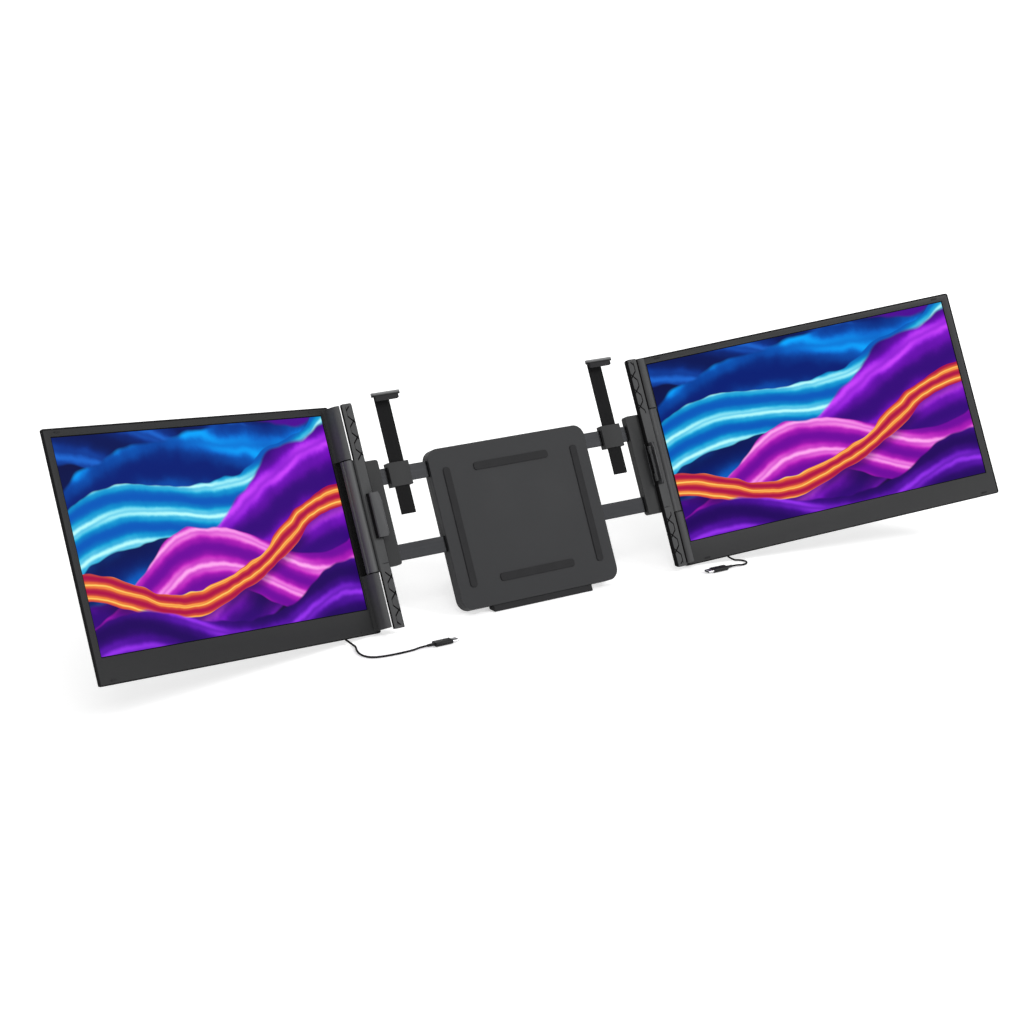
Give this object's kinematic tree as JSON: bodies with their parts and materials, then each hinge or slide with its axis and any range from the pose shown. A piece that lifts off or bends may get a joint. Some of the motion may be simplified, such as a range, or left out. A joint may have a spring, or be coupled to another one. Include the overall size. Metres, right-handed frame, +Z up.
{
  "type": "laptop screen extender",
  "caption": "Pair of slim side monitors on hinged columns that grip a laptop lid with clips and hooks, joined by a sliding bracket with a kickstand.",
  "frame": {"origin": "middle of the footprint, on the desk", "axes": "+X from the left monitor to the right one, +Y away from the viewer, +Z up; the columns and monitors lean back by 25.2 degrees as on an open laptop lid"},
  "size_m": [1.0608, 0.2137, 0.2559],
  "materials": {
    "bezel": "fine-grained moulded black",
    "cover": "fine-grained moulded black",
    "panel_glass": "matte display film, lit",
    "circuit_board": "green solder mask",
    "port_shell": "plated socket shells",
    "button_black": "dished black",
    "bumper_rubber": "soft black",
    "screw_steel": "blackened screw heads",
    "knuckle_cover": "painted grey",
    "hinge_leaf": "pressed steel",
    "shaft_steel": "ground steel",
    "column_grey": "satin dark grey",
    "column_cover": "moulded black",
    "slide_bar": "satin anodised",
    "clip_plate": "dark anodised",
    "grip_rubber": "soft black",
    "hook_grey": "satin light grey",
    "bracket_shell": "moulded black",
    "rail_nylon": "natural nylon",
    "stand_plate": "dark anodised",
    "foot_rubber": "soft black",
    "plug_black": "moulded black with a plated tongue",
    "cord_black": "soft jacket"
  },
  "bodies": {
    "bracket": {"bracket_front": "bracket_shell", "bracket_back": "bracket_shell", "bracket_rails": "rail_nylon", "lid_pads": "grip_rubber", "desk_foot": "foot_rubber", "bracket_screws": "screw_steel", "kickstand_pin": "shaft_steel"},
    "stand": {"kickstand": "stand_plate", "kickstand_foot": "foot_rubber"},
    "left_arm": {"left_slide_bars": "slide_bar", "left_column": "column_grey", "left_column_back": "column_cover", "left_column_screws": "screw_steel", "left_hinge_shafts": "shaft_steel", "left_clip_pin": "shaft_steel", "left_hook_guide": "column_cover"},
    "left_monitor": {"left_bezel": "bezel", "left_screen": "panel_glass", "left_back_cover": "cover", "left_driver_board": "circuit_board", "left_ports": "port_shell", "left_bumpers": "bumper_rubber", "left_cover_screws": "screw_steel", "left_knuckles": "knuckle_cover", "left_hinge_leaves": "hinge_leaf", "left_monitor_plug": "plug_black", "left_cord": "cord_black", "left_laptop_plug": "plug_black"},
    "left_power": {"left_power_button": "button_black"},
    "left_menu": {"left_menu_button": "button_black"},
    "left_side_clip": {"left_clip": "clip_plate", "left_clip_pad": "grip_rubber"},
    "left_hook": {"left_top_hook": "hook_grey", "left_hook_pad": "grip_rubber"},
    "right_arm": {"right_slide_bars": "slide_bar", "right_column": "column_grey", "right_column_back": "column_cover", "right_column_screws": "screw_steel", "right_hinge_shafts": "shaft_steel", "right_clip_pin": "shaft_steel", "right_hook_guide": "column_cover"},
    "right_monitor": {"right_bezel": "bezel", "right_screen": "panel_glass", "right_back_cover": "cover", "right_driver_board": "circuit_board", "right_ports": "port_shell", "right_bumpers": "bumper_rubber", "right_cover_screws": "screw_steel", "right_knuckles": "knuckle_cover", "right_hinge_leaves": "hinge_leaf", "right_monitor_plug": "plug_black", "right_cord": "cord_black", "right_laptop_plug": "plug_black"},
    "right_power": {"right_power_button": "button_black"},
    "right_menu": {"right_menu_button": "button_black"},
    "right_side_clip": {"right_clip": "clip_plate", "right_clip_pad": "grip_rubber"},
    "right_hook": {"right_top_hook": "hook_grey", "right_hook_pad": "grip_rubber"}
  },
  "joints": [
    {"name": "kickstand_hinge", "type": "hinge", "parent": "bracket", "child": "stand", "pos_m": [0, 0.0658, 0.11388], "axis": [1, 0, 0], "range_deg": [-45.2, 0]},
    {"name": "left_arm_slide", "type": "slide", "parent": "bracket", "child": "left_arm", "axis": [-1, 0, 0], "range_m": [-0.015, 0.03]},
    {"name": "left_monitor_hinge", "type": "hinge", "parent": "left_arm", "child": "left_monitor", "pos_m": [-0.185, 0.04307, 0.10667], "axis": [0, 0.4258, 0.9048], "range_deg": [-19.6, 160.3]},
    {"name": "left_clip_hinge", "type": "hinge", "parent": "left_arm", "child": "left_side_clip", "pos_m": [-0.1671, 0.03916, 0.10801], "axis": [0, -0.4258, -0.9048], "range_deg": [0, 90]},
    {"name": "left_hook_slide", "type": "slide", "parent": "left_arm", "child": "left_hook", "axis": [0, 0.4258, 0.9048], "range_m": [-0.025, 0.02]},
    {"name": "left_power_press", "type": "slide", "parent": "left_monitor", "child": "left_power", "axis": [0.3355, -0.8524, 0.4011], "range_m": [0, 0.0006], "stiffness_N_per_m": 1500},
    {"name": "left_menu_press", "type": "slide", "parent": "left_monitor", "child": "left_menu", "axis": [0.3355, -0.8524, 0.4011], "range_m": [0, 0.0006], "stiffness_N_per_m": 1500},
    {"name": "right_arm_slide", "type": "slide", "parent": "bracket", "child": "right_arm", "axis": [1, 0, 0], "range_m": [-0.015, 0.03]},
    {"name": "right_monitor_hinge", "type": "hinge", "parent": "right_arm", "child": "right_monitor", "pos_m": [0.185, 0.04307, 0.10667], "axis": [0, -0.4258, -0.9048], "range_deg": [-19.6, 150.4]},
    {"name": "right_clip_hinge", "type": "hinge", "parent": "right_arm", "child": "right_side_clip", "pos_m": [0.1671, 0.03916, 0.10801], "axis": [0, 0.4258, 0.9048], "range_deg": [-90, 0]},
    {"name": "right_hook_slide", "type": "slide", "parent": "right_arm", "child": "right_hook", "axis": [0, 0.4258, 0.9048], "range_m": [-0.025, 0.02]},
    {"name": "right_power_press", "type": "slide", "parent": "right_monitor", "child": "right_power", "axis": [-0.3355, -0.8524, 0.4011], "range_m": [0, 0.0006], "stiffness_N_per_m": 1500},
    {"name": "right_menu_press", "type": "slide", "parent": "right_monitor", "child": "right_menu", "axis": [-0.3355, -0.8524, 0.4011], "range_m": [0, 0.0006], "stiffness_N_per_m": 1500}
  ]
}
